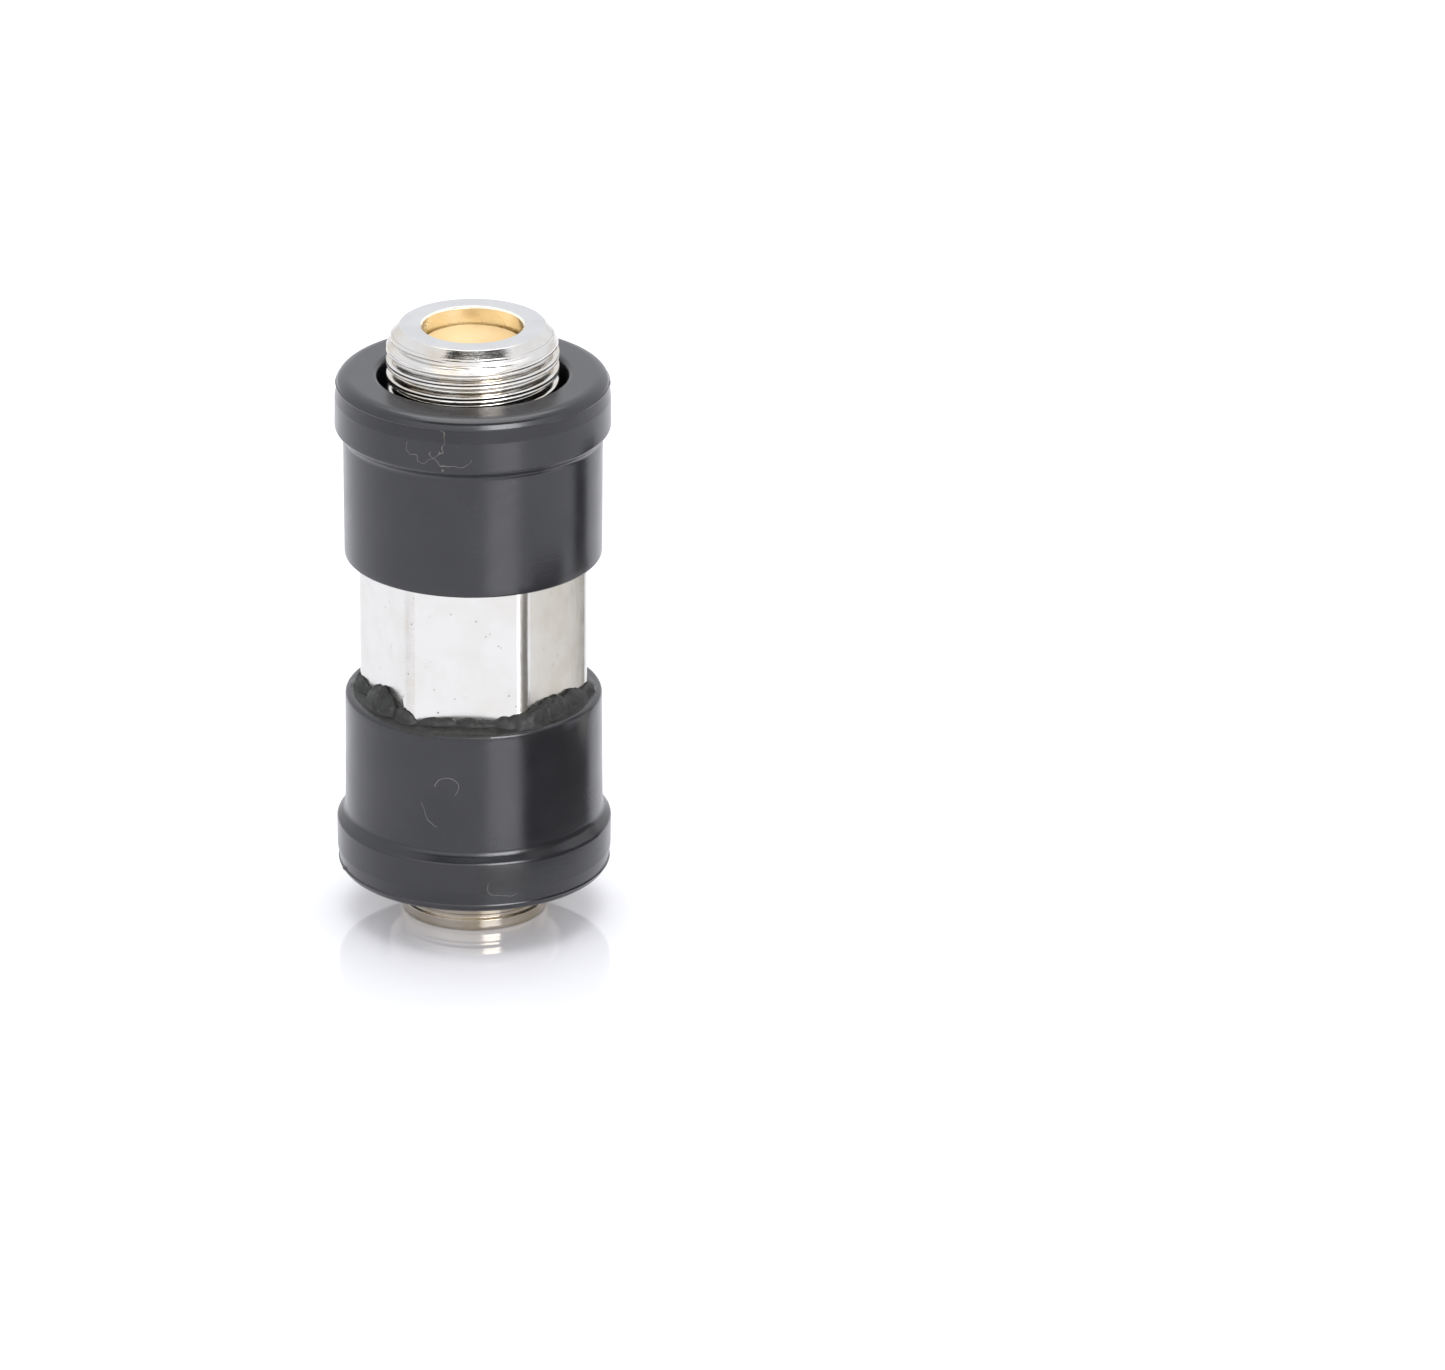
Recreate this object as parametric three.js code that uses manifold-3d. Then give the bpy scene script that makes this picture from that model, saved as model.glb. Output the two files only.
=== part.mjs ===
// F-type coaxial barrel coupler with two rubber weather boots, in millimetres, +Z up.
// The origin is the centre of the lower port's end face, and the barrel's axis is Z.
// The coupler is the same both ways up, so most pieces are made once, as functions of
// their depth from a port face, and turned over about the middle for the other end.
import * as THREE from 'three';
import { mergeVertices } from 'three/addons/utils/BufferGeometryUtils.js';
import Module from 'manifold-3d';

// Barrel
const LENGTH = 34.0; // port face to port face
const HEX_FLATS = 11.0; // across the spanner flats
const HEX_TURNED = 6.2; // radius that the hexagon's corners are turned down to
const HEX_LENGTH = 12.0;
const HEX_BEVEL = 0.6; // height of the bevel on the hexagon's ends
const PORT_LENGTH = (LENGTH - HEX_LENGTH) / 2;

// Port thread, 3/8-32 UNEF
const THREAD_CREST = 4.7;
const THREAD_ROOT = 4.28;
const THREAD_PITCH = 25.4 / 32;
const THREAD_START = 1.26; // depth of the first crest below the port face
const FACE_RADIUS = 4.0; // flat end face, inside the nose chamfer
const NOSE_DEPTH = 0.85;

// Bore of a port
const BORE_MOUTH = 2.75;
const MOUTH_CHAMFER = 0.1;
const BORE_STEP_DEPTH = 3.2; // where the bore opens out behind the port's inner lip
const BORE_WIDE = 3.3;
const SPIGOT_RADIUS = 4.25; // the upper port's plain end, pressed into the hexagon
const SPIGOT_LENGTH = 5.5;

// Insulators, spacer and centre contact
const FIT = 0.02; // radial room between fixed pieces
const RIM_DEPTH = 0.97; // the insulator's rim, below the port face
const DISH_DEPTH = 1.75; // the insulator's middle, below the port face
const PIN_HOLE = 0.525; // radius of the hole that the cable's centre conductor enters
const PIN_COUNTERSINK = 0.68;
const INSULATOR_BACK = 6.2;
const POCKET_DEPTH = 3.0; // start of the insulator's pocket for the contact
const CONTACT_RADIUS = 1.0;
const CONTACT_BORE = 0.62;
const CONTACT_DEPTH = 3.1; // end of the contact, below the port face
const CONTACT_DRILLED = 9.0; // length of the bore drilled into each end of the contact
const TINE_LENGTH = 4.2;
const TINE_SLOT = 0.3;
const SPACER_BORE = 2.4;

// Rubber boots, measured from a boot's outer face
const BOOT_LENGTH = 10.4;
const BOOT_HOLE = 5.15;
const BOOT_FACE = 6.7; // edge of the flat outer face
const BOOT_PARTING = 7.4; // mould line round the bead
const BOOT_BEAD = 7.54;
const BOOT_TUBE = 7.06;
const BOOT_WALL = 2.6; // thickness of the end wall
const BOOT_BORE = 6.35;
const LIP_HEIGHT = 1.0; // the hexagonal sealing lip at the boot's inner end
const LIP_FLATS = HEX_FLATS + 0.2;
const UPPER_BOOT_FACE = 31.25; // height of the upper boot's outer face
const LOWER_BOOT_FACE = 2.4; // height of the lower boot's outer face

const METAL_SIDES = 36;
const RUBBER_SIDES = 48;
const SMALL_SIDES = 24;

const wasm = await Module();
wasm.setup();

// Closed three.js geometry to a manifold solid.
function solid(geometry) {
  geometry.deleteAttribute('normal');
  geometry.deleteAttribute('uv');
  const merged = mergeVertices(geometry, 1e-5);
  return new wasm.Manifold(new wasm.Mesh({
    numProp: 3,
    vertProperties: new Float32Array(merged.attributes.position.array),
    triVerts: new Uint32Array(merged.index.array),
  }));
}

// Manifold solid back to a three.js geometry.
function geometryOf(manifold) {
  const mesh = manifold.getMesh();
  const geometry = new THREE.BufferGeometry();
  geometry.setAttribute('position', new THREE.BufferAttribute(mesh.vertProperties, 3));
  geometry.setIndex(new THREE.BufferAttribute(mesh.triVerts, 1));
  geometry.computeVertexNormals();
  return geometry;
}

// A solid of revolution about Z from [radius, height] points that run upwards.
function turned(points, sides) {
  const profile = points.map(([radius, height]) => new THREE.Vector2(radius, height));
  return solid(new THREE.LatheGeometry(profile, sides).rotateX(Math.PI / 2));
}

// A plain cylinder between two heights.
function disc(radius, low, high, sides) {
  return turned([[0, low], [radius, low], [radius, high], [0, high]], sides);
}

// A hexagonal prism whose flats face -Y and +Y.
function hexPrism(flats, low, high) {
  const corner = flats / Math.sqrt(3);
  const outline = new THREE.Shape();
  for (let k = 0; k < 6; k += 1) {
    const angle = k * Math.PI / 3;
    const [x, y] = [corner * Math.cos(angle), corner * Math.sin(angle)];
    if (k === 0) outline.moveTo(x, y);
    else outline.lineTo(x, y);
  }
  outline.closePath();
  const prism = new THREE.ExtrudeGeometry(outline, { depth: high - low, bevelEnabled: false });
  return solid(prism.translate(0, 0, low));
}

// The same solid at the other end of the barrel.
function turnedOver(manifold) {
  return manifold.rotate([180, 0, 0]).translate([0, 0, LENGTH]);
}

// One threaded port with its nose at height 0, as ring grooves, up to the hexagon.
function threadedPort(length) {
  const points = [[0, 0], [FACE_RADIUS, 0], [THREAD_CREST - 0.1, NOSE_DEPTH]];
  for (let crest = THREAD_START; crest < length - THREAD_PITCH; crest += THREAD_PITCH) {
    points.push([THREAD_CREST, crest], [THREAD_ROOT, crest + THREAD_PITCH / 2]);
  }
  points.push([THREAD_CREST, length - THREAD_PITCH / 2], [THREAD_CREST, length], [0, length]);
  return turned(points, METAL_SIDES);
}

// The space inside a port: chamfered mouth, lip and the wider bore behind it.
function portBore(depth) {
  return turned([
    [0, -1], [BORE_MOUTH + MOUTH_CHAMFER + 1, -1], [BORE_MOUTH, MOUTH_CHAMFER],
    [BORE_MOUTH, BORE_STEP_DEPTH], [BORE_WIDE, BORE_STEP_DEPTH], [BORE_WIDE, depth], [0, depth],
  ], METAL_SIDES);
}

// Hexagon with turned corners and bevelled ends.
function hexagon() {
  const low = PORT_LENGTH;
  const high = PORT_LENGTH + HEX_LENGTH;
  const edge = HEX_FLATS / 2 - 0.05;
  const envelope = turned([
    [0, low], [edge, low], [HEX_TURNED, low + HEX_BEVEL],
    [HEX_TURNED, high - HEX_BEVEL], [edge, high], [0, high],
  ], METAL_SIDES * 2);
  return hexPrism(HEX_FLATS, low, high).intersect(envelope);
}

// The hexagon and the lower port are one piece of brass, bored from the top.
function hexBody() {
  const top = PORT_LENGTH + HEX_LENGTH;
  const socket = disc(SPIGOT_RADIUS + FIT, top - SPIGOT_LENGTH - FIT, top + 1, METAL_SIDES);
  return threadedPort(PORT_LENGTH + 0.5).add(hexagon())
    .subtract(portBore(top + 1)).subtract(socket);
}

// The upper port is a separate threaded ferrule with a plain spigot.
function upperPort() {
  const spigot = disc(SPIGOT_RADIUS, PORT_LENGTH - 0.5, PORT_LENGTH + SPIGOT_LENGTH, METAL_SIDES);
  const ferrule = threadedPort(PORT_LENGTH).add(spigot)
    .subtract(portBore(PORT_LENGTH + SPIGOT_LENGTH + 1));
  return turnedOver(ferrule);
}

// A dished insulator: a boss in the port's mouth and a wider flange behind the lip.
function insulator() {
  const boss = BORE_MOUTH - FIT;
  const flange = BORE_WIDE - FIT;
  const body = turned([
    [0, DISH_DEPTH], [PIN_COUNTERSINK, DISH_DEPTH], [1.6, DISH_DEPTH - 0.22],
    [2.3, DISH_DEPTH - 0.5], [boss - 0.2, RIM_DEPTH], [boss, RIM_DEPTH],
    [boss, BORE_STEP_DEPTH + FIT], [flange, BORE_STEP_DEPTH + FIT],
    [flange, INSULATOR_BACK], [0, INSULATOR_BACK],
  ], METAL_SIDES);
  const hole = turned([
    [0, DISH_DEPTH - 1], [PIN_COUNTERSINK + 1, DISH_DEPTH - 1],
    [PIN_HOLE, DISH_DEPTH + PIN_COUNTERSINK - PIN_HOLE],
    [PIN_HOLE, POCKET_DEPTH], [CONTACT_RADIUS + FIT, POCKET_DEPTH],
    [CONTACT_RADIUS + FIT, INSULATOR_BACK + 1], [0, INSULATOR_BACK + 1],
  ], SMALL_SIDES);
  return body.subtract(hole);
}

// The tube that keeps the two insulators apart.
function spacer() {
  const low = INSULATOR_BACK + FIT;
  const high = LENGTH - low;
  return disc(BORE_WIDE - FIT, low, high, METAL_SIDES)
    .subtract(disc(SPACER_BORE, low - 1, high + 1, METAL_SIDES));
}

// One contact from port to port, with both ends slotted crosswise into four tines.
function centreContact() {
  const low = CONTACT_DEPTH;
  const high = LENGTH - low;
  let contact = disc(CONTACT_RADIUS, low, high, SMALL_SIDES)
    .subtract(disc(CONTACT_BORE, low - 1, low + CONTACT_DRILLED, SMALL_SIDES))
    .subtract(disc(CONTACT_BORE, high - CONTACT_DRILLED, high + 1, SMALL_SIDES));
  for (const end of [low, high]) {
    for (const [width, depth] of [[4, TINE_SLOT], [TINE_SLOT, 4]]) {
      const cutter = new THREE.BoxGeometry(width, depth, TINE_LENGTH * 2).translate(0, 0, end);
      contact = contact.subtract(solid(cutter));
    }
  }
  return contact;
}

// A boot with its outer face at height 0 and its hexagonal lip at BOOT_LENGTH.
function boot() {
  const rounding = 0.52; // height of the rounded edge between the outer face and the mould line
  const points = [[0, 0], [BOOT_FACE, 0]];
  for (const angle of [30, 60]) {
    const turn = THREE.MathUtils.degToRad(angle);
    const out = (BOOT_PARTING - BOOT_FACE) * Math.sin(turn);
    points.push([BOOT_FACE + out, rounding * (1 - Math.cos(turn))]);
  }
  points.push(
    [BOOT_PARTING, rounding], [BOOT_BEAD, 1.5], [BOOT_BEAD, 2.9], [BOOT_BEAD - 0.14, 3.2],
    [BOOT_TUBE, 3.7], [BOOT_TUBE, BOOT_LENGTH - 0.12], [BOOT_TUBE - 0.12, BOOT_LENGTH],
    [0, BOOT_LENGTH],
  );
  const lipStart = BOOT_LENGTH - LIP_HEIGHT;
  return turned(points, RUBBER_SIDES)
    .subtract(disc(BOOT_HOLE, -1, BOOT_WALL + 1, RUBBER_SIDES))
    .subtract(disc(BOOT_BORE, BOOT_WALL, lipStart, RUBBER_SIDES))
    .subtract(hexPrism(LIP_FLATS, lipStart - 0.2, BOOT_LENGTH + 1));
}

const nickel = { color: 0xd4d2ce, roughness: 0.22, metalness: 1.0 };
const bronze = { color: 0xb98a4e, roughness: 0.35, metalness: 1.0 };
const rubber = { color: 0x2a2b2d, roughness: 0.5, metalness: 0.0 };
const cream = { color: 0xf0d9a4, roughness: 0.45, metalness: 0.0 };
const milky = { color: 0xe9e6dc, roughness: 0.5, metalness: 0.0 };

const coupler = new THREE.Group();

function addPiece(name, manifold, finish, height = 0) {
  const mesh = new THREE.Mesh(geometryOf(manifold), new THREE.MeshStandardMaterial(finish));
  mesh.name = name;
  mesh.position.z = height;
  coupler.add(mesh);
}

addPiece('hex_body', hexBody(), nickel);
addPiece('upper_port_ferrule', upperPort(), nickel);
addPiece('lower_insulator', insulator(), cream);
addPiece('upper_insulator', turnedOver(insulator()), cream);
addPiece('spacer_tube', spacer(), milky);
addPiece('centre_contact', centreContact(), bronze);
addPiece('lower_boot', boot(), rubber, LOWER_BOOT_FACE);
addPiece('upper_boot', turnedOver(boot()), rubber, UPPER_BOOT_FACE - LENGTH);

export default coupler;
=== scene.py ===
import math

import bpy
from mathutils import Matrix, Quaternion, Vector, noise


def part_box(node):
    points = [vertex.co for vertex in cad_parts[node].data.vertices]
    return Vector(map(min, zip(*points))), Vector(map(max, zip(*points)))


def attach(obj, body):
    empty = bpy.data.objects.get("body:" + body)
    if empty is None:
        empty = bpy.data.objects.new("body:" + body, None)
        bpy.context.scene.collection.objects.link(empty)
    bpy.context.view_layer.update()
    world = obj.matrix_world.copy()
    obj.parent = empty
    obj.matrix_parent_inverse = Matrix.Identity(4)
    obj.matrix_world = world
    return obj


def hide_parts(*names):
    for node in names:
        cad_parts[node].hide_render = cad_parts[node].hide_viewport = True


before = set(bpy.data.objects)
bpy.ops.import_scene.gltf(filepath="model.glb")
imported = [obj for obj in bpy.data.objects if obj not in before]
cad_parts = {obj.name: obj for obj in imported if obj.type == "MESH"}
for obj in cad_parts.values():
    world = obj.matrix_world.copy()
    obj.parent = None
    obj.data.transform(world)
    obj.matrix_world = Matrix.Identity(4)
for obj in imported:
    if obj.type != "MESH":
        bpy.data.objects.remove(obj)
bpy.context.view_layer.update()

# The coupler stands on its lower port. Its pieces are rings round Z, so each one is a closed
# profile swept round the axis, with the thread, the hexagon and the torn rubber as changes to
# the swept radius and height. Lengths are millimetres until a mesh is made, then metres.
# Azimuths turn from -Y, the front, towards +X.
MM = 0.001


def span(node):
    """Lowest and highest height of a CAD node, in millimetres."""
    low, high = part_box(node)
    return low.z / MM, high.z / MM


LENGTH = span("upper_port_ferrule")[1]
LOWER_BOOT = span("lower_boot")
UPPER_BOOT = span("upper_boot")

HEX_LOW = 11.0
HEX_HIGH = 23.0
HEX_FLATS = 11.0  # across the flats
HEX_TURNED = 6.2  # radius that the corners are turned down to, which leaves a strip on each
HEX_BEVEL = 0.6
STRIP_EDGE = math.acos(HEX_FLATS / 2 / HEX_TURNED)  # from a flat's middle to the strip's edge

# The ports. Depths are measured from the port's face.
CREST = 4.7
ROOT = 4.28
PITCH = 25.4 / 32
THREAD_FADE = (0.3, 0.8)  # depths over which the grooves grow to their full depth
THREAD_ROWS = 16  # rows of vertices in one pitch
UPPER_THREAD_START = 1.26 + PITCH / 2  # puts the first full crest 1.26 deep on the -X side
LOWER_THREAD_START = 1.9
FACE_RADIUS = 3.97
UPPER_NOSE = [(4.36, 0.42), (4.33, 0.47), (4.43, 0.53), (4.60, 0.85)]  # radius and depth
LOWER_NOSE = [(4.02, 0.20), (4.05, 0.62), (3.93, 0.74), (3.94, 0.90), (4.06, 1.00), (4.09, 1.38)]
NOSE_TAPER = 0.35  # depth from the plain nose to the thread's full crest

MOUTH = 2.75
BORE_STEP = 3.2  # depth where the bore widens behind the lip
BORE_WIDE = 3.3
SPIGOT = 4.25  # the upper port's press fit in the hexagon
SPIGOT_LENGTH = 5.5

# The insulators.
RIM_DEPTH = 0.97
DISH_DEPTH = 1.75
PIN_HOLE = 0.525
COUNTERSINK = 0.68
COUNTERSINK_DEPTH = 0.16
DISH_STEPS = 12
INSULATOR_BACK = 6.2
POCKET = 3.0
POCKET_RADIUS = 1.02
PLAY = 0.02  # keeps touching pieces from sharing a surface

# The boots. Depths are measured from the outer face towards the hexagon.
BOOT_LENGTH = UPPER_BOOT[1] - UPPER_BOOT[0]
BOOT_HOLE = 5.15
BOOT_FACE = 6.68
BOOT_PARTING = 7.4  # radius of the mould's parting line
PARTING_DEPTH = 0.52
SHOULDER_STEPS = 7
BOOT_BEAD = 7.52
BEAD_ENDS = (1.3, 3.0)
BOOT_TUBE = 7.05
TUBE_START = 3.46
BOOT_WALL = 2.6  # thickness of the outer end
BOOT_BORE = 6.35
LIP_HEIGHT = 1.0
LIP_FLATS = HEX_FLATS + 0.03  # the rubber hugs the hexagon
RIM_WIDTH = 0.3  # the inner end's outermost part, which stays round


# ---------------------------------------------------------------- profiles


def corner(radius, height, fillet=0.05, step=None):
    """A profile corner; step is the row spacing along the side that follows it."""
    return radius, height, fillet, step


def arc_points(before, here, after, fillet, steps=5):
    """Points of the fillet arc at a corner, with its ends on the two sides."""
    a = Vector(before) - Vector(here)
    b = Vector(after) - Vector(here)
    half = a.angle(b) / 2
    reach = min(fillet / math.tan(half), a.length * 0.45, b.length * 0.45)
    radius = reach * math.tan(half)
    a.normalize()
    b.normalize()
    centre = Vector(here) + (a + b).normalized() * (radius / math.sin(half))
    start = Vector(here) + a * reach - centre
    turn = math.pi - 2 * half
    if start.x * b.y - start.y * b.x < 0:
        turn = -turn
    points = []
    for k in range(steps + 1):
        t = turn * k / steps
        c, s = math.cos(t), math.sin(t)
        points.append((centre.x + start.x * c - start.y * s, centre.y + start.x * s + start.y * c))
    return points


def rounded(corners, support=0.03):
    """A closed list of (radius, height, side) rows from corners, side being the corner's number.

    Each straight side has extra rows close to its ends, which keep its shading flat."""
    rows = []
    count = len(corners)
    for k, (radius, height, fillet, step) in enumerate(corners):
        before = corners[k - 1][:2]
        after = corners[(k + 1) % count][:2]
        arc = arc_points(before, (radius, height), after, fillet) if fillet else [(radius, height)]
        rows.extend((r, z, k) for r, z in arc)
        following = corners[(k + 1) % count]
        if following[2]:
            beyond = corners[(k + 2) % count][:2]
            end = arc_points((radius, height), following[:2], beyond, following[2])[0]
        else:
            end = following[:2]
        start, end = Vector(arc[-1]), Vector(end)
        length = (end - start).length
        if step:
            pieces = max(2, round(length / step))
            fractions = [i / pieces for i in range(1, pieces)]
        elif length > 4 * support:
            fractions = [support / length, 0.5, 1 - support / length]
        else:
            fractions = []
        rows.extend((*start.lerp(end, f), k) for f in fractions)
    return rows


def swept(name, rows, angles, shape, finishes, finish_of=None):
    """A closed ring: rows of (radius, height, side) swept round Z through the angles.

    shape(angle, radius, height) gives the point's own radius and height, and
    finish_of(side, radius, angle) the number of a face's finish."""
    across = len(angles)
    vertices = []
    for radius, height, _ in rows:
        for angle in angles:
            r, z = shape(angle, radius, height)
            vertices.append((r * math.cos(angle) * MM, r * math.sin(angle) * MM, z * MM))
    area = sum(a[0] * b[1] - b[0] * a[1] for a, b in zip(rows, rows[1:] + rows[:1]))
    faces, finish_numbers = [], []
    for i, row in enumerate(rows):
        j = (i + 1) % len(rows)
        for k in range(across):
            n = (k + 1) % across
            number = finish_of(row[2], row[0], angles[k]) if finish_of else 0
            face = (i * across + k, i * across + n, j * across + n, j * across + k)
            faces.append(face if area > 0 else face[::-1])
            finish_numbers.append(number)
    mesh = bpy.data.meshes.new(name)
    mesh.from_pydata(vertices, [], faces)
    for finish in finishes:
        mesh.materials.append(finish)
    mesh.polygons.foreach_set("material_index", finish_numbers)
    mesh.polygons.foreach_set("use_smooth", [True] * len(faces))
    mesh.update()
    piece = bpy.data.objects.new(name, mesh)
    bpy.context.scene.collection.objects.link(piece)
    return piece


def even_angles(count):
    return [2 * math.pi * k / count for k in range(count)]


def plain(angle, radius, height):
    """The shape of a piece that is round all the way."""
    return radius, height


def smooth(low, high, value):
    t = min(max((value - low) / (high - low), 0), 1)
    return t * t * (3 - 2 * t)


def wander(x, y, z, seed=0.0):
    """Smooth noise between about -1 and 1."""
    return noise.noise(Vector((x + seed, y - seed, z + 2 * seed)))


# ---------------------------------------------------------------- hexagon and thread


def from_flat(angle):
    """Angle from the nearest flat's middle. The flats face -Y, +Y and the four between."""
    return (angle + math.pi / 3) % (math.pi / 3) - math.pi / 6


def hex_radius(angle, flats):
    return flats / 2 / math.cos(from_flat(angle))


def hex_angles(count=216):
    """Even angles, with more of them across each turned corner's two edges."""
    angles = set(even_angles(count))
    for flat in range(6):
        middle = math.pi / 6 + flat * math.pi / 3
        for side in (-1, 1):
            for k in range(-4, 5):
                turn = math.pi / 6 - STRIP_EDGE + math.radians(0.16 * k)
                angles.add((middle + side * turn) % (2 * math.pi))
    kept = []
    for angle in sorted(angles):
        if not kept or angle - kept[-1] > math.radians(0.1):
            kept.append(angle)
    return kept


def thread_height(phase):
    """Thread profile from 0 at the root to 1 over the rounded crest."""
    distance = abs((phase + 0.5) % 1 - 0.5)
    burr = 0.1 * (1 - smooth(0.0, 0.16, distance))
    return 1 - smooth(0.17, 0.44, distance) - burr


def thread_radius(depth, turn, start):
    """Radius of the thread at a depth below the port's face; turn is the angle in radians."""
    height = thread_height((depth - start) / PITCH + turn / (2 * math.pi))
    groove = (CREST - ROOT) * (1 - height) * smooth(*THREAD_FADE, depth)
    return CREST - groove


def burred(radius, angle, height):
    """The hexagon's radius with a fine, uneven burr where a flat meets the turned corner."""
    near = math.exp(-((abs(from_flat(angle)) - STRIP_EDGE) / math.radians(0.4)) ** 2)
    x, y = 5 * math.cos(angle), 5 * math.sin(angle)
    return radius + near * (0.01 + 0.05 * wander(x, y, height * 3.1, 4.1))


def port_corners(base, up, shoulder, nose):
    """Corners of a port from the lip's back, out of the mouth and down the thread.

    base is the face's height and up is 1 where the port opens upwards, -1 where it opens down."""
    def at(depth):
        return base - up * depth
    return [
        corner(MOUTH, at(BORE_STEP), 0.1),
        corner(MOUTH, at(0.1), 0.02),
        corner(MOUTH + 0.1, at(0), 0.03),
        corner(FACE_RADIUS, at(0), 0.06),
        *[corner(radius, at(depth), 0.04) for radius, depth in nose],
        corner(CREST, at(nose[-1][1] + NOSE_TAPER), 0.2, PITCH / THREAD_ROWS),
        corner(CREST, at(shoulder), 0),
    ]


def finish_of_port(side, radius, angle):
    """Number of the finish: 1 in the bore, 2 on the face and 0 on the thread and the rest.

    Sides are numbered as port_corners lists their first corners."""
    bore_sides, face_side = (0, 1), 2
    if side in bore_sides:
        return 1
    return 2 if side == face_side else 0


def make_hex_body(metal, brass, face, flats, strips):
    corners = port_corners(0, -1, HEX_LOW, LOWER_NOSE)
    bevel_side = len(corners)  # the first of the hexagon's three outer sides
    edge = HEX_FLATS / 2 - 0.05
    corners += [
        corner(edge, HEX_LOW, 0.06),
        corner(HEX_TURNED, HEX_LOW + HEX_BEVEL, 0.1, 0.12),
        corner(HEX_TURNED, HEX_HIGH - HEX_BEVEL, 0.1),
        corner(edge, HEX_HIGH, 0.06),
        corner(SPIGOT + 0.02, HEX_HIGH, 0.08),
        corner(SPIGOT + 0.02, HEX_HIGH - SPIGOT_LENGTH, 0.05),
        corner(BORE_WIDE, HEX_HIGH - SPIGOT_LENGTH, 0.05),
        corner(BORE_WIDE, BORE_STEP, 0.05),
    ]

    def shape(angle, radius, height):
        if height < HEX_LOW and radius > FACE_RADIUS:
            return min(radius, thread_radius(height, -angle, LOWER_THREAD_START)), height
        if radius > SPIGOT + 0.5 and height >= HEX_LOW:
            limit = min(hex_radius(angle, HEX_FLATS), HEX_TURNED)
            return burred(min(radius, limit), angle, height), height
        return radius, height

    def finish(side, radius, angle):
        if bevel_side <= side <= bevel_side + 2:
            inside_face = angle + math.radians(0.08)  # angle is at the face's edge
            return 4 if hex_radius(inside_face, HEX_FLATS) > HEX_TURNED else 3
        return finish_of_port(side, radius, angle)

    finishes = [metal, brass, face, flats, strips]
    return swept("hex_body_metal", rounded(corners), hex_angles(), shape, finishes, finish)


def make_upper_port(metal, brass, face):
    corners = port_corners(LENGTH, 1, LENGTH - HEX_HIGH, UPPER_NOSE)
    corners += [
        corner(SPIGOT, HEX_HIGH, 0),
        corner(SPIGOT, HEX_HIGH - SPIGOT_LENGTH, 0.15),
        corner(BORE_WIDE, HEX_HIGH - SPIGOT_LENGTH, 0.05),
        corner(BORE_WIDE, LENGTH - BORE_STEP, 0.05),
    ]

    def shape(angle, radius, height):
        if height > HEX_HIGH and radius > SPIGOT - 0.2:
            depth = LENGTH - height
            return min(radius, thread_radius(depth, angle, UPPER_THREAD_START)), height
        return radius, height

    rows, finishes = rounded(corners), [metal, brass, face]
    return swept("upper_port_metal", rows, even_angles(240), shape, finishes, finish_of_port)


# ---------------------------------------------------------------- insulators


def make_insulator(name, base, up, plastic):
    """The dished face, the pin hole with its countersink, and the flange behind the lip."""
    def at(depth):
        return base - up * depth
    boss = MOUTH - PLAY
    flange = BORE_WIDE - PLAY
    corners = [
        corner(PIN_HOLE, at(POCKET), 0.03),
        corner(PIN_HOLE, at(DISH_DEPTH + COUNTERSINK_DEPTH), 0.05),
    ]
    for k in range(DISH_STEPS + 1):
        radius = COUNTERSINK + (boss - 0.14 - COUNTERSINK) * k / DISH_STEPS
        depth = DISH_DEPTH - (DISH_DEPTH - RIM_DEPTH) * (radius / boss) ** 2
        corners.append(corner(radius, at(depth), 0.03 if k == 0 else 0))
    corners += [
        corner(boss, at(RIM_DEPTH), 0.05),
        corner(boss, at(BORE_STEP + PLAY), 0.02),
        corner(flange, at(BORE_STEP + PLAY), 0.1),
        corner(flange, at(INSULATOR_BACK), 0.1),
        corner(POCKET_RADIUS, at(INSULATOR_BACK), 0.1),
        corner(POCKET_RADIUS, at(POCKET), 0.05),
    ]
    return swept(name, rounded(corners), even_angles(128), plain, [plastic])


# ---------------------------------------------------------------- boots


def lip_lump(angle, radius, lumps):
    """Height of the squeezed rubber lumps that lean on the hexagon, with uneven tops."""
    away = max(radius - min(hex_radius(angle, LIP_FLATS), HEX_TURNED), 0)
    highest = 0
    for azimuth, height, half_width, thickness in lumps:
        turn = (angle + math.pi / 2 - math.radians(azimuth) + math.pi) % (2 * math.pi) - math.pi
        dome = 1 - (turn * HEX_TURNED / half_width) ** 2 - (away / thickness) ** 2
        if dome > 0:
            highest = max(highest, height * dome ** 0.5)
    x, y = radius * math.cos(angle), radius * math.sin(angle)
    uneven = 0.05 * wander(x * 1.6, y * 1.6, 0.4) + 0.035 * wander(x * 4.5, y * 4.5, 1.9)
    return highest * (1 + 3 * uneven) + (0.05 + uneven) * (1 - smooth(0.3, 1.0, away))


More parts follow.
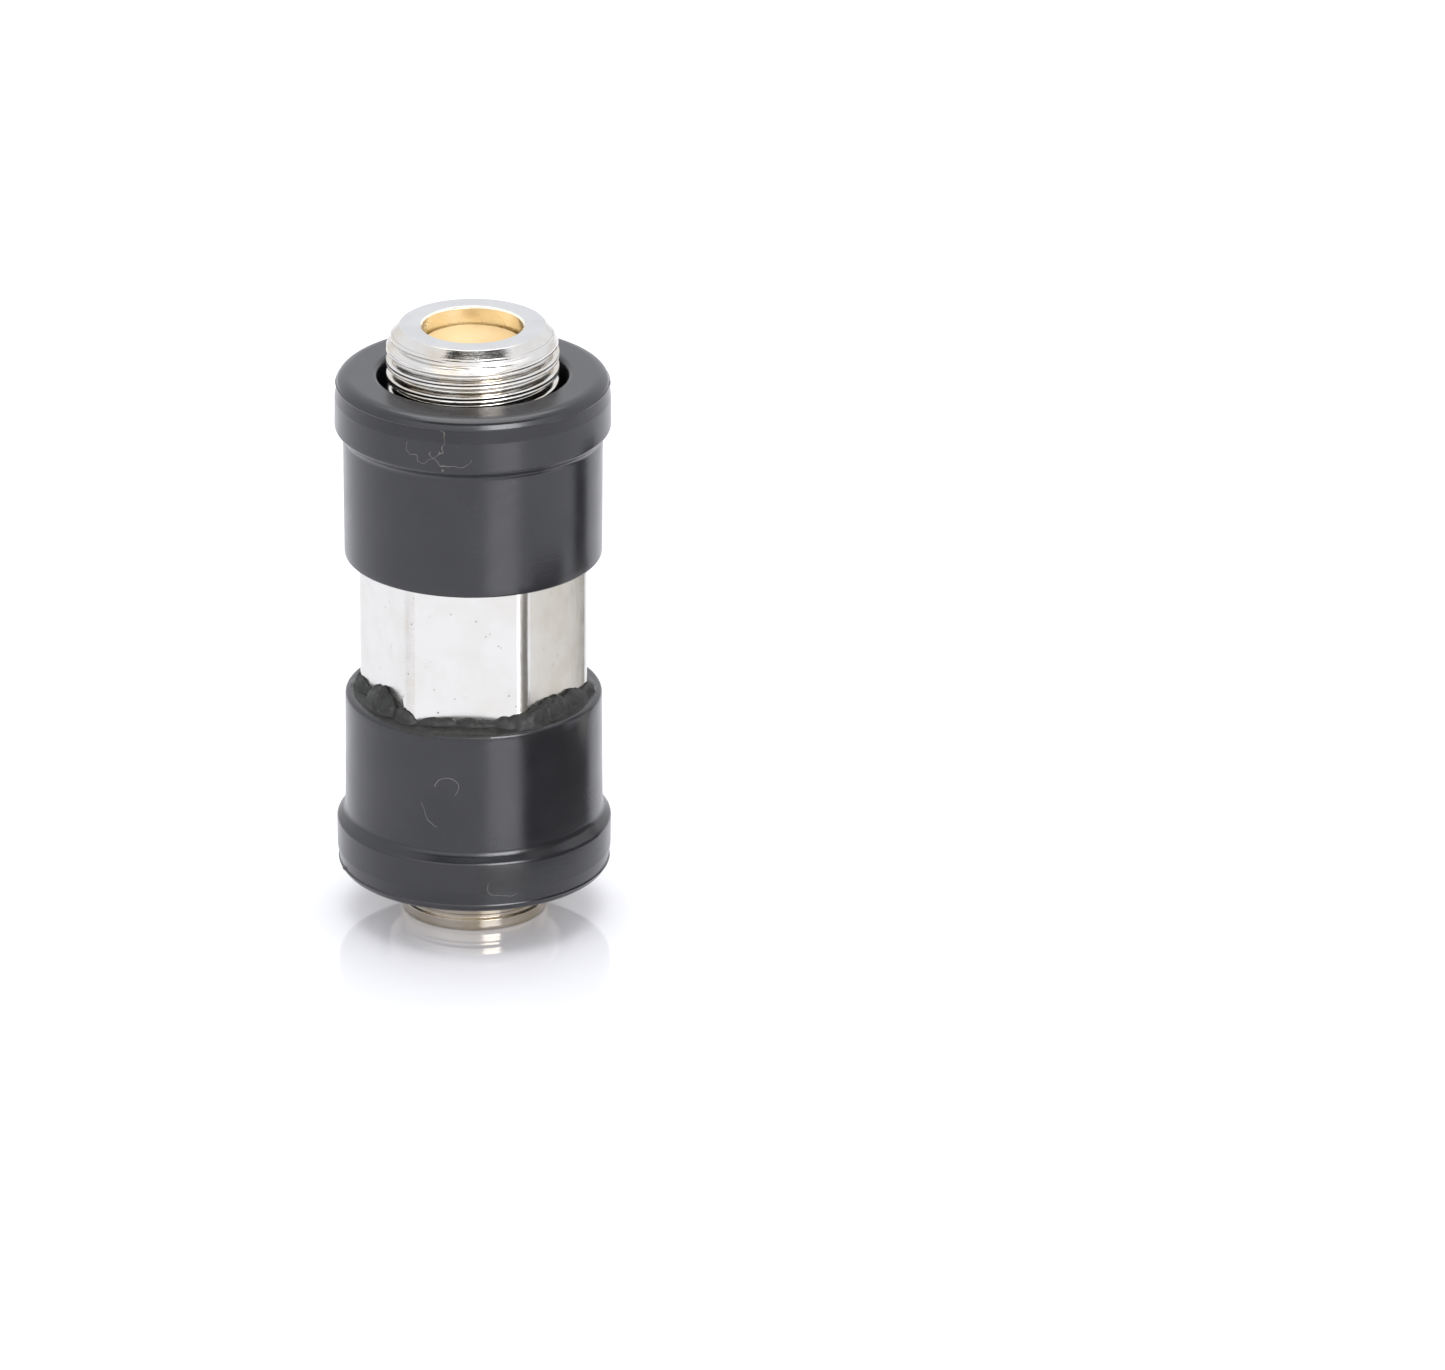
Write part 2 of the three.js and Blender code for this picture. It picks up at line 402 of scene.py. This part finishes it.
def make_boot(name, outer, inward, rim_fillet, lumps, nub_angle, seed, rubber):
    """A boot whose outer face is at height outer; inward is the sign of Z towards the hexagon.

    nub_angle, in radians from +X, is where the parting line's flash is torn. seed varies the
    uneven surfaces."""
    def at(depth):
        return outer + inward * depth
    inner_end = BOOT_LENGTH
    lip_start = inner_end - LIP_HEIGHT
    lip = LIP_FLATS / 2
    inside_rim = BOOT_TUBE - RIM_WIDTH
    corners = [
        corner(BOOT_HOLE, 0, 0.3),
        corner(BOOT_FACE, 0, 0, 0.25),
    ]
    for k in range(1, SHOULDER_STEPS):
        turn = math.pi / 2 * k / SHOULDER_STEPS
        out = (BOOT_PARTING - BOOT_FACE) * math.sin(turn)
        corners.append(corner(BOOT_FACE + out, PARTING_DEPTH * (1 - math.cos(turn)), 0))
    corners += [
        corner(BOOT_PARTING, PARTING_DEPTH - 0.05, 0),
        corner(BOOT_PARTING + 0.02, PARTING_DEPTH - 0.015, 0),
        corner(BOOT_PARTING + 0.02, PARTING_DEPTH + 0.015, 0),
        corner(BOOT_PARTING - 0.01, PARTING_DEPTH + 0.06, 0),
        corner(BOOT_BEAD - 0.02, BEAD_ENDS[0], 0.6),
        corner(BOOT_BEAD, BEAD_ENDS[1], 0.3),
        corner(BOOT_TUBE + 0.02, TUBE_START, 0.5),
        corner(BOOT_TUBE, 4.6, 0, 0.4),
        corner(BOOT_TUBE - 0.03, inner_end, rim_fillet, 0.05),
        corner(lip, inner_end, 0, 0.1),
        corner(lip, lip_start, 0),
        corner(BOOT_BORE, lip_start, 0),
        corner(BOOT_BORE, BOOT_WALL, 0.3),
        corner(BOOT_HOLE, BOOT_WALL, 0.12),
    ]
    rows = [(r, at(z), side) for r, z, side in rounded(corners)]

    def shape(angle, radius, height):
        depth = (height - outer) * inward
        x, y = math.cos(angle), math.sin(angle)
        if depth >= lip_start - 0.01 and radius < inside_rim:
            hole = min(hex_radius(angle, LIP_FLATS), HEX_TURNED + 0.04)
            share = (radius - lip) / (inside_rim - lip)
            radius = hole + (inside_rim - hole) * share
            if depth > inner_end - 0.06:
                depth += lip_lump(angle, radius, lumps)
        elif abs(depth - PARTING_DEPTH) < 0.03 and radius > BOOT_FACE:
            flash = 0.5 + 0.5 * wander(x * 5, y * 5, seed)
            turn = (angle - nub_angle + math.pi) % (2 * math.pi) - math.pi
            torn = math.exp(-(turn / 0.035) ** 2)
            radius += 0.045 * flash + 0.05 * torn * (1 + wander(angle * 90, 0, seed))
        elif radius > BOOT_FACE:
            radius += 0.012 * wander(x * 1.5, y * 1.5, depth * 0.2, seed)
        return radius, at(depth)

    rim_side = next(side for side, made in enumerate(corners) if made[1] == inner_end)

    def torn(side, radius, angle):
        """1 on the lip's hole and on the inner end's torn part, which reaches furthest in front."""
        x, y = math.cos(angle), math.sin(angle)
        ragged = 6.45 - 0.6 * y + 0.15 * wander(4 * x, 4 * y, 0, seed)
        return 1 if side == rim_side and radius < ragged or side == rim_side + 1 else 0

    return swept(name, rows, even_angles(360), shape, [rubber, TORN], torn)


# ---------------------------------------------------------------- materials


class Finish:
    """A node material under construction, with coordinates in millimetres of the piece."""

    def __init__(self, name):
        self.material = bpy.data.materials.new(name)
        self.material.use_nodes = True
        self.tree = self.material.node_tree
        self.shader = self.tree.nodes["Principled BSDF"]
        where = self.node("ShaderNodeTexCoord")
        self.coordinates = self.stretched(where.outputs["Object"], (1 / MM,) * 3)

    def node(self, kind, **settings):
        made = self.tree.nodes.new(kind)
        for key, value in settings.items():
            setattr(made, key, value)
        return made

    def link(self, source, target):
        self.tree.links.new(source, target)

    def stretched(self, vector, scale):
        mapping = self.node("ShaderNodeMapping")
        mapping.inputs["Scale"].default_value = scale
        self.link(vector, mapping.inputs["Vector"])
        return mapping.outputs["Vector"]

    def noise(self, scale, detail=3.0, roughness=0.5, stretch=None):
        made = self.node("ShaderNodeTexNoise")
        vector = self.stretched(self.coordinates, stretch) if stretch else self.coordinates
        self.link(vector, made.inputs["Vector"])
        made.inputs["Scale"].default_value = scale
        made.inputs["Detail"].default_value = detail
        made.inputs["Roughness"].default_value = roughness
        return made.outputs["Fac"]

    def cells(self, scale):
        """Distance from the nearest of many scattered points."""
        made = self.node("ShaderNodeTexVoronoi")
        self.link(self.coordinates, made.inputs["Vector"])
        made.inputs["Scale"].default_value = scale
        return made.outputs["Distance"]

    def ranged(self, value, low, high, to_low=0.0, to_high=1.0):
        made = self.node("ShaderNodeMapRange")
        self.link(value, made.inputs["Value"])
        made.inputs["From Min"].default_value = low
        made.inputs["From Max"].default_value = high
        made.inputs["To Min"].default_value = to_low
        made.inputs["To Max"].default_value = to_high
        return made.outputs["Result"]

    def maths(self, operation, a, b=0.0):
        made = self.node("ShaderNodeMath", operation=operation)
        for socket, value in zip(made.inputs, (a, b)):
            if isinstance(value, (int, float)):
                socket.default_value = value
            else:
                self.link(value, socket)
        return made.outputs["Value"]

    def blended(self, amount, a, b):
        """Colour a where amount is 0 and b where it is 1."""
        made = self.node("ShaderNodeMix", data_type="RGBA")
        self.link(amount, made.inputs["Factor"])
        for key, value in ((6, a), (7, b)):
            if isinstance(value, tuple):
                made.inputs[key].default_value = (*value, 1.0)
            else:
                self.link(value, made.inputs[key])
        return made.outputs[2]

    def bumped(self, height, depth, previous=None):
        made = self.node("ShaderNodeBump")
        made.inputs["Distance"].default_value = depth * MM
        self.link(height, made.inputs["Height"])
        if previous:
            self.link(previous, made.inputs["Normal"])
        return made.outputs["Normal"]

    def hairline(self, azimuth, height, radius, bend, share):
        """A curled hair on the boot: part of a ring about a point, with its shape bent by noise.

        share is how much of the ring shows, from its left end round the bottom, or round the top
        where share is negative."""
        split = self.node("ShaderNodeSeparateXYZ")
        self.link(self.coordinates, split.inputs[0])
        x, y, z = split.outputs
        turn = self.maths("ARCTAN2", x, self.maths("MULTIPLY", y, -1.0))
        across = self.maths("SUBTRACT", turn, math.radians(azimuth))
        across = self.maths("MULTIPLY", across, BOOT_TUBE)
        up = self.maths("MULTIPLY", self.maths("SUBTRACT", z, height), 1 if share > 0 else -1)
        sway = self.ranged(self.noise(1.1, 1.0), 0.0, 1.0, -bend, bend)
        squares = self.maths("ADD", self.maths("POWER", across, 2.0), self.maths("POWER", up, 2.0))
        away = self.maths("ADD", self.maths("SQRT", squares), sway)
        off = self.maths("ABSOLUTE", self.maths("SUBTRACT", away, radius))
        thin = self.ranged(off, 0.004, 0.022, 1.0, 0.0)
        angle = self.maths("ARCTAN2", up, across)
        last = math.pi * (2 * abs(share) - 1)
        end = self.ranged(angle, last, last + 0.1, 1.0, 0.0)
        return self.maths("MULTIPLY", thin, end)

    def finish(self, colour, roughness, normal, **constants):
        self.link(colour, self.shader.inputs["Base Color"])
        self.link(roughness, self.shader.inputs["Roughness"])
        self.link(normal, self.shader.inputs["Normal"])
        for key, value in constants.items():
            self.shader.inputs[key.replace("_", " ")].default_value = value
        return self.material


def plated_metal(name, bright, tint, roughness, grain, grain_depth, pits=0.0, peel=0.002):
    """Turned metal with stains of a warmer tint, a grain, small pits and a faint waviness.

    grain stretches the lines along or across the axis, pits is how dark the pits are, and peel
    is the waviness's depth."""
    f = Finish(name)
    stain = f.ranged(f.noise(0.45, 4, 0.6), 0.42, 0.68)
    colour = f.blended(stain, bright, tint)
    lines = f.noise(1.0, 5, 0.65, stretch=grain)
    spots = f.ranged(f.cells(2.0), 0.05, 0.12, 1.0, 0.0)
    few = f.ranged(f.noise(1.1, 2), 0.48, 0.56)
    pit = f.maths("MULTIPLY", spots, few)
    if pits:
        colour = f.blended(f.maths("MULTIPLY", pit, pits), colour, (0.12, 0.1, 0.08))
    rough = f.ranged(f.noise(0.8, 4), 0.3, 0.7, roughness * 0.75, roughness * 1.35)
    normal = f.bumped(lines, grain_depth)
    normal = f.bumped(f.noise(2.6, 3, 0.6), peel, normal)
    normal = f.bumped(f.maths("MULTIPLY", pit, -1.0), 0.006, normal)
    return f.finish(colour, rough, normal, Metallic=1.0)


def moulded_rubber(name, hairs):
    """Black rubber: fine mould lines, dust, pale bloom in patches and lint hairlines."""
    f = Finish(name)
    tone = f.ranged(f.noise(0.3, 4, 0.55), 0.35, 0.65)
    colour = f.blended(tone, (0.0085, 0.009, 0.012), (0.012, 0.0125, 0.016))
    bloom = f.ranged(f.noise(0.4, 3), 0.45, 0.85, 0.0, 0.15)
    colour = f.blended(bloom, colour, (0.04, 0.04, 0.046))
    specks = f.ranged(f.cells(3.3), 0.03, 0.055, 1.0, 0.0)
    few = f.ranged(f.noise(0.9, 2), 0.5, 0.6)
    speck = f.maths("MULTIPLY", specks, few)
    lint = 0.0
    for hair in hairs:
        lint = f.maths("MAXIMUM", f.hairline(*hair), lint)
    dust = f.maths("MAXIMUM", f.maths("MULTIPLY", speck, 0.6), f.maths("MULTIPLY", lint, 0.42))
    colour = f.blended(dust, colour, (0.33, 0.31, 0.27))
    rough = f.ranged(f.noise(0.5, 3), 0.3, 0.7, 0.21, 0.27)
    rough = f.maths("ADD", rough, f.maths("MULTIPLY", bloom, 0.12))
    lines = f.noise(1.0, 4, 0.6, stretch=(0.8, 0.8, 6.0))
    normal = f.bumped(lines, 0.006)
    normal = f.bumped(f.noise(9.0, 3), 0.003, normal)
    return f.finish(colour, rough, normal, IOR=1.54)


def torn_rubber():
    """Dull torn rubber on the boots' lips, rough and speckled with dust."""
    f = Finish("rubber_torn")
    tone = f.ranged(f.noise(1.4, 5, 0.6), 0.35, 0.65)
    colour = f.blended(tone, (0.012, 0.0125, 0.011), (0.026, 0.027, 0.024))
    specks = f.ranged(f.cells(4.5), 0.05, 0.1, 1.0, 0.0)
    few = f.ranged(f.noise(1.6, 2), 0.55, 0.62)
    colour = f.blended(f.maths("MULTIPLY", specks, few), colour, (0.3, 0.3, 0.28))
    rough = f.ranged(f.noise(2.0, 3), 0.3, 0.7, 0.42, 0.62)
    normal = f.bumped(f.noise(3.0, 5, 0.6), 0.05)
    return f.finish(colour, rough, normal, IOR=1.45)


def moulded_plastic(name, pale, deep, scatter):
    """Slightly translucent plastic with a faint change of tone."""
    f = Finish(name)
    tone = f.ranged(f.noise(0.6, 3), 0.35, 0.7)
    colour = f.blended(tone, pale, deep)
    rough = f.ranged(f.noise(2.0, 3), 0.3, 0.7, 0.28, 0.42)
    normal = f.bumped(f.noise(5.0, 3), 0.006)
    return f.finish(
        colour, rough, normal, Subsurface_Weight=scatter, Subsurface_Radius=(1.0, 0.7, 0.35),
        Subsurface_Scale=0.8 * MM, IOR=1.49,
    )


# ---------------------------------------------------------------- assembly

TURNING = (0.6, 0.6, 9.0)  # grain that runs round the axis
NICKEL = plated_metal(
    "nickel_thread", (0.64, 0.63, 0.61), (0.58, 0.53, 0.45), 0.11, TURNING, 0.005, peel=0.009
)
# A darker, warmer copy of the nickel for the lower port: its darkening is painted shade for the
# port under the lower boot.
SHADED_WARM_NICKEL = plated_metal(
    "nickel_shaded_warm", (0.58, 0.53, 0.46), (0.50, 0.43, 0.33), 0.13, TURNING, 0.005, peel=0.006
)
NICKEL_FACE = plated_metal(
    "nickel_face", (0.565, 0.568, 0.575), (0.54, 0.54, 0.54), 0.32, (4.0, 4.0, 4.0), 0.006
)
HEX_METAL = plated_metal(
    "nickel_flats", (0.62, 0.614, 0.60), (0.585, 0.57, 0.535), 0.15, (5.0, 5.0, 0.7), 0.004,
    pits=0.8
)
HEX_STRIP = plated_metal(
    "nickel_turned", (0.60, 0.59, 0.57), (0.52, 0.49, 0.44), 0.2, (1.0, 1.0, 14.0), 0.012,
    pits=0.8, peel=0.006
)
BORE_BRASS = plated_metal(
    "bore_brass", (0.93, 0.895, 0.775), (0.88, 0.83, 0.68), 0.24, TURNING, 0.006
)
BRONZE = plated_metal(
    "contact_bronze", (0.80, 0.55, 0.32), (0.66, 0.42, 0.22), 0.25, (6.0, 6.0, 0.8), 0.004
)

# Each hair is its azimuth, its height, its radius, how much it bends and how much of it shows.
LOWER_HAIRS = [
    (-8, 9.7, 0.6, 0.25, -0.6), (-9, 8.7, 1.3, 0.3, 0.2), (18, 4.3, 0.9, 0.4, 0.35),
    (150, 8.0, 1.2, 0.5, 0.5),
]
UPPER_HAIRS = [
    (-16, 29.8, 1.0, 0.8, 0.62), (-6, 29.4, 0.9, 0.6, 0.45), (-68, 24.0, 0.4, 0.2, 0.5),
    (200, 27.0, 1.1, 0.5, 0.4),
]
LOWER_RUBBER = moulded_rubber("rubber_lower", LOWER_HAIRS)
UPPER_RUBBER = moulded_rubber("rubber_upper", UPPER_HAIRS)
TORN = torn_rubber()
CREAM = moulded_plastic("insulator_cream", (0.70, 0.50, 0.245), (0.66, 0.45, 0.21), 0.2)
SPACER = moulded_plastic("spacer_natural", (0.80, 0.77, 0.68), (0.74, 0.70, 0.60), 0.2)

hex_body = make_hex_body(SHADED_WARM_NICKEL, BORE_BRASS, NICKEL_FACE, HEX_METAL, HEX_STRIP)
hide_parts("hex_body")
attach(hex_body, "barrel")

upper_port = make_upper_port(NICKEL, BORE_BRASS, NICKEL_FACE)
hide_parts("upper_port_ferrule")
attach(upper_port, "barrel")

for place, base, up in (("lower", 0, -1), ("upper", LENGTH, 1)):
    insulator = make_insulator(place + "_insulator_plastic", base, up, CREAM)
    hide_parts(place + "_insulator")
    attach(insulator, "barrel")

# Each lump of torn rubber is its azimuth, its height, its half width and its thickness.
LOWER_LUMPS = [
    (-86, 0.62, 1.5, 0.35), (-56, 1.00, 1.75, 0.85), (-34, 0.72, 0.9, 0.40), (-14, 0.36, 1.3, 0.35),
    (6, 0.32, 1.5, 0.45), (22, 0.45, 0.9, 0.50), (30, 0.70, 0.9, 0.60), (39, 0.95, 1.2, 0.75),
    (51, 0.85, 1.8, 0.80), (70, 0.60, 1.6, 0.70), (88, 0.40, 1.4, 0.50), (118, 0.40, 2.0, 0.50),
    (150, 0.50, 2.2, 0.60), (185, 0.35, 2.2, 0.50), (222, 0.50, 2.0, 0.60), (250, 0.40, 1.5, 0.50),
]
UPPER_LUMPS = [
    (-60, 0.22, 2.2, 0.5), (8, 0.20, 2.4, 0.4), (62, 0.30, 2.0, 0.5),
    (125, 0.35, 2.4, 0.6), (190, 0.30, 1.8, 0.5), (240, 0.30, 1.6, 0.5),
]

lower_boot = make_boot(
    "lower_boot_rubber", outer=LOWER_BOOT[0], inward=1, rim_fillet=0.25, lumps=LOWER_LUMPS,
    nub_angle=3.5, seed=2.7, rubber=LOWER_RUBBER
)
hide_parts("lower_boot")
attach(lower_boot, "lower_boot")

upper_boot = make_boot(
    "upper_boot_rubber", outer=UPPER_BOOT[1], inward=-1, rim_fillet=0.12, lumps=UPPER_LUMPS,
    nub_angle=0.02, seed=5.9, rubber=UPPER_RUBBER
)
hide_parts("upper_boot")
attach(upper_boot, "upper_boot")

for node, finish in (("centre_contact", BRONZE), ("spacer_tube", SPACER)):
    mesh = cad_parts[node].data
    mesh.materials.clear()
    mesh.materials.append(finish)


# ---------------------------------------------------------------- floor, light and camera

OPENING_AZIMUTH = 10  # where the light tent is open, high up
OPENING_EDGES = (44, 47, 64, 68)  # elevations where it starts, is full, starts to end and ends

CARD_RADIUS = 15.5
CARD_COLUMNS = 24
# Each card is a painted reflection, the dark ones of shade and the pale ones of light, and has its
# first and last azimuth, its lowest and highest edge, and its brightness.
PAINTED_REFLECTION_CARDS = {
    "painted_reflection_base_pale": (6, 38, 0, 1.6, 1.1),
    "painted_reflection_low_dark": (39, 92, 1.4, 9.2, 0.22),
    "painted_reflection_strip": (36, 47, 9.2, 17.1, 0.45),
    "painted_reflection_front": (47, 74, 9.2, 18.6, 0.30),
    "painted_reflection_side_dark": (92, 107, 1.4, 7.0, 0.15),
    "painted_reflection_side_grey": (92, 104.2, 7.0, 16.5, 1.02),
    "painted_reflection_edge": (104.2, 108, 7.0, 16.9, 0.06),
    "painted_reflection_side_high": (86, 103, 16.5, 25.0, 0.12),
}

# The camera's angles are in degrees and its lengths in metres.
CAMERA_AZIMUTH = 3.4
CAMERA_ELEVATION = 22.4
CAMERA_DISTANCE = 0.716  # from the lower port's centre, along the line of view
CAMERA_LENS = 324.0  # millimetres, on a sensor 36 mm wide
CAMERA_RIGHT = 0.01360  # the middle of the view passes this far right of that centre
CAMERA_ABOVE = 0.0120
CAMERA_ROLL = 0.26


def add_floor():
    far, height = 6.0, -0.02 * MM  # just clear of the port that stands on it
    corners = [(x, y, height) for x, y in ((-far, -far), (far, -far), (far, far), (-far, far))]
    mesh = bpy.data.meshes.new("floor")
    mesh.from_pydata(corners, [], [(0, 1, 2, 3)])
    f = Finish("floor_gloss_white")
    tone = f.ranged(f.noise(0.01, 2), 0.3, 0.7)
    colour = f.blended(tone, (0.86, 0.86, 0.89), (0.88, 0.88, 0.91))
    rough = f.ranged(f.noise(0.02, 2), 0.3, 0.7, 0.03, 0.05)
    normal = f.bumped(f.noise(0.1, 2), 0.002)
    mesh.materials.append(f.finish(colour, rough, normal, IOR=1.55))
    floor = bpy.data.objects.new("floor", mesh)
    bpy.context.scene.collection.objects.link(floor)


def direction(azimuth, elevation):
    """Unit vector from the object towards a place."""
    a, e = math.radians(azimuth), math.radians(elevation)
    return Vector((math.sin(a) * math.cos(e), -math.cos(a) * math.cos(e), math.sin(e)))


def add_area(name, azimuth, elevation, distance, width, height, power, colour, diffuse=True):
    """A lamp aimed at the object's middle; without diffuse it shows only in reflections."""
    data = bpy.data.lights.new(name, "AREA")
    data.shape = "RECTANGLE"
    data.size, data.size_y = width, height
    data.energy, data.color = power, colour
    light = bpy.data.objects.new(name, data)
    away = direction(azimuth, elevation)
    light.location = Vector((0, 0, LENGTH / 2 * MM)) + away * distance
    light.rotation_mode = "QUATERNION"
    light.rotation_quaternion = away.to_track_quat("Z", "Y")
    light.visible_diffuse = diffuse
    bpy.context.scene.collection.objects.link(light)


def card_finish(name, level):
    """A card's glow, which rays that come up off the floor pass through unseen.

    A ray starts at the card's own height plus its length times the rise back along it."""
    f = Finish(name)
    place = f.node("ShaderNodeNewGeometry")
    heights = []
    for vector in (place.outputs["Position"], place.outputs["Incoming"]):
        split = f.node("ShaderNodeSeparateXYZ")
        f.link(vector, split.inputs[0])
        heights.append(split.outputs["Z"])
    length = f.node("ShaderNodeLightPath").outputs["Ray Length"]
    source = f.maths("ADD", heights[0], f.maths("MULTIPLY", heights[1], length))
    glow = f.node("ShaderNodeEmission")
    glow.inputs["Color"].default_value = (level, level * 0.97, level * 0.93, 1)
    mix = f.node("ShaderNodeMixShader")
    f.link(f.maths("GREATER_THAN", source, 0.05 * MM), mix.inputs[0])
    f.link(f.node("ShaderNodeBsdfTransparent").outputs[0], mix.inputs[1])
    f.link(glow.outputs[0], mix.inputs[2])
    f.link(mix.outputs[0], f.tree.nodes["Material Output"].inputs["Surface"])
    return f.material


def add_painted_reflections():
    """Curved glowing cards round the object that paint reflections of shade and light, seen only in
    its reflections.
    """
    for name, (start, end, low, high, level) in PAINTED_REFLECTION_CARDS.items():
        vertices = []
        for k in range(CARD_COLUMNS + 1):
            away = direction(start + (end - start) * k / CARD_COLUMNS, 0) * CARD_RADIUS * MM
            vertices += [(away.x, away.y, low * MM), (away.x, away.y, high * MM)]
        faces = [(2 * k, 2 * k + 2, 2 * k + 3, 2 * k + 1) for k in range(CARD_COLUMNS)]
        mesh = bpy.data.meshes.new(name)
        mesh.from_pydata(vertices, [], faces)
        mesh.materials.append(card_finish(name, level))
        reflection_card = bpy.data.objects.new(name, mesh)
        bpy.context.scene.collection.objects.link(reflection_card)
        reflection_card.visible_camera = False
        reflection_card.visible_diffuse = False
        reflection_card.visible_shadow = False


def add_world():
    """A light tent: pale near the horizon, brightest in front, with a dark opening high up."""
    world = bpy.data.worlds.new("light_tent")
    bpy.context.scene.world = world
    world.use_nodes = True
    tree = world.node_tree
    where = tree.nodes.new("ShaderNodeTexCoord").outputs["Generated"]
    split = tree.nodes.new("ShaderNodeSeparateXYZ")
    tree.links.new(where, split.inputs[0])
    rise = split.outputs["Z"]
    facing = tree.nodes.new("ShaderNodeVectorMath")
    facing.operation = "DOT_PRODUCT"
    facing.inputs[1].default_value = direction(OPENING_AZIMUTH, 0)
    tree.links.new(where, facing.inputs[0])
    ahead = facing.outputs["Value"]

    def step(source, low, high):
        made = tree.nodes.new("ShaderNodeMapRange")
        tree.links.new(source, made.inputs["Value"])
        made.inputs["From Min"].default_value = low
        made.inputs["From Max"].default_value = high
        return made.outputs["Result"]

    def both(a, b):
        made = tree.nodes.new("ShaderNodeMath")
        made.operation = "MULTIPLY"
        tree.links.new(a, made.inputs[0])
        tree.links.new(b, made.inputs[1])
        return made.outputs["Value"]

    def blended(amount, a, b):
        made = tree.nodes.new("ShaderNodeMix")
        made.data_type = "RGBA"
        tree.links.new(amount, made.inputs["Factor"])
        for place, value in ((6, a), (7, b)):
            if isinstance(value, tuple):
                made.inputs[place].default_value = (*value, 1)
            else:
                tree.links.new(value, made.inputs[place])
        return made.outputs[2]

    wall = blended(step(ahead, 0.1, 0.6), (1.15, 1.16, 1.20), (1.80, 1.80, 1.84))
    tent = blended(step(rise, 0.08, 0.2), (1.0, 1.0, 1.03), wall)
    starts, full, wanes, ends = (math.sin(math.radians(edge)) for edge in OPENING_EDGES)
    opening = both(step(rise, starts, full), step(rise, ends, wanes))
    opening = both(opening, step(ahead, 0.22, 0.28))
    lit = blended(opening, tent, (0.08, 0.08, 0.08))
    tree.links.new(lit, tree.nodes["Background"].inputs["Color"])


def add_camera():
    data = bpy.data.cameras.new("camera")
    data.lens = CAMERA_LENS
    data.sensor_width = 36.0
    data.clip_start, data.clip_end = 0.01, 50
    camera = bpy.data.objects.new("camera", data)
    back = direction(CAMERA_AZIMUTH, CAMERA_ELEVATION)
    right = Vector((0, 0, 1)).cross(back).normalized()
    up = back.cross(right)
    camera.location = back * CAMERA_DISTANCE + right * CAMERA_RIGHT + up * CAMERA_ABOVE
    camera.rotation_mode = "QUATERNION"
    roll = Quaternion((0, 0, 1), math.radians(CAMERA_ROLL))
    camera.rotation_quaternion = back.to_track_quat("Z", "Y") @ roll
    bpy.context.scene.collection.objects.link(camera)
    bpy.context.scene.camera = camera


add_floor()
add_world()
add_painted_reflections()
add_area("overhead_softbox", 180, 78, 0.6, 0.5, 0.5, 2.0, (1.0, 1.0, 1.0))
add_area("front_right_lamp", 31, 28, 0.55, 0.26, 0.34, 2.5, (0.97, 0.97, 1.0), diffuse=False)
add_camera()
bpy.context.scene.view_settings.view_transform = "Standard"
